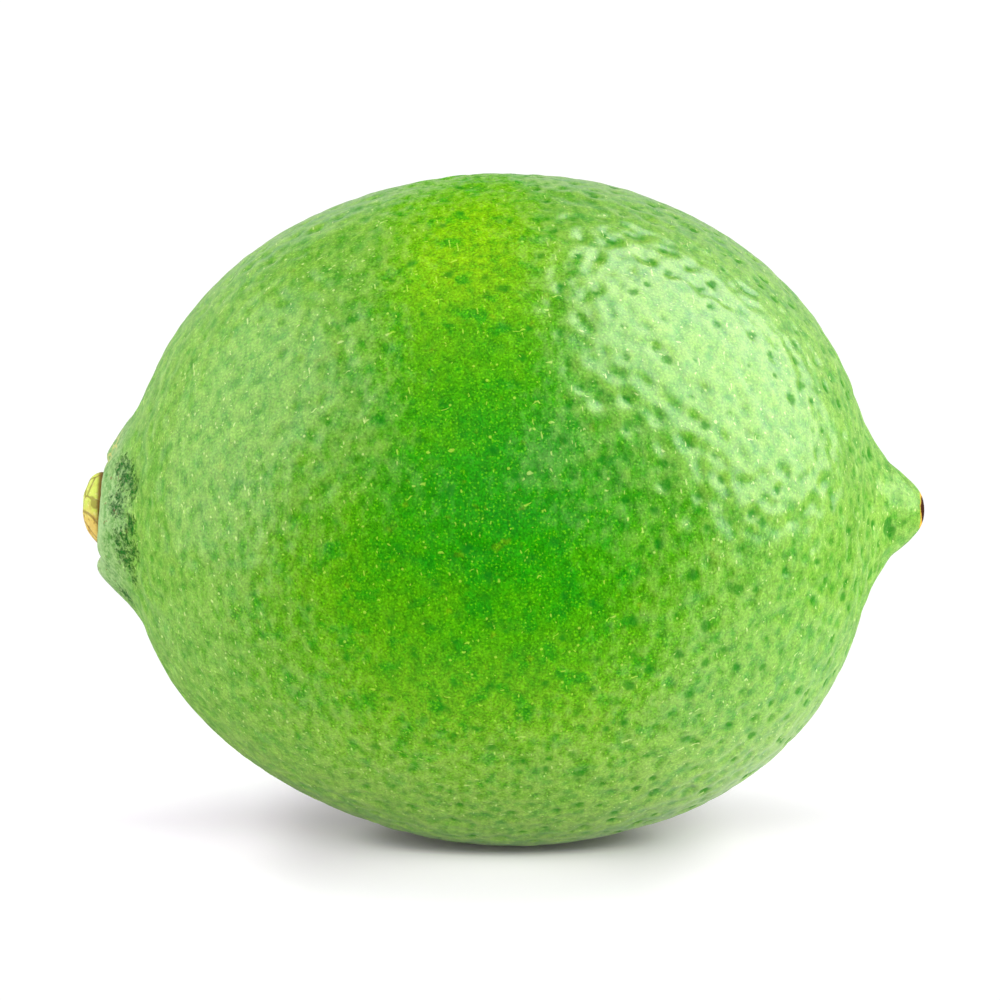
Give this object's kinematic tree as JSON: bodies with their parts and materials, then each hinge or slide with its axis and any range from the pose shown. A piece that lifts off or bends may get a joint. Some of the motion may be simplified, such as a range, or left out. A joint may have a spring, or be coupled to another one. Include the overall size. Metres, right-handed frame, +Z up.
{
  "type": "lime",
  "caption": "Whole Persian lime: a plump oval citrus fruit with a short collar round its stem button at one end and a small nipple at the other.",
  "frame": {"origin": "on the surface that the lime rests on, under the middle of its bounding box", "axes": "+Z up; +X along the fruit's axis towards the nipple of the style end, so the stem button is at -X; +Y completes the frame, and the side seen from the front faces -Y"},
  "size_m": [0.0624, 0.05, 0.0497],
  "materials": {
    "rind": "waxy, pitted with oil glands, semi-gloss",
    "calyx": "dry and matt"
  },
  "bodies": {
    "root": {"fruit": "rind", "stem_button": "calyx"}
  },
  "joints": []
}
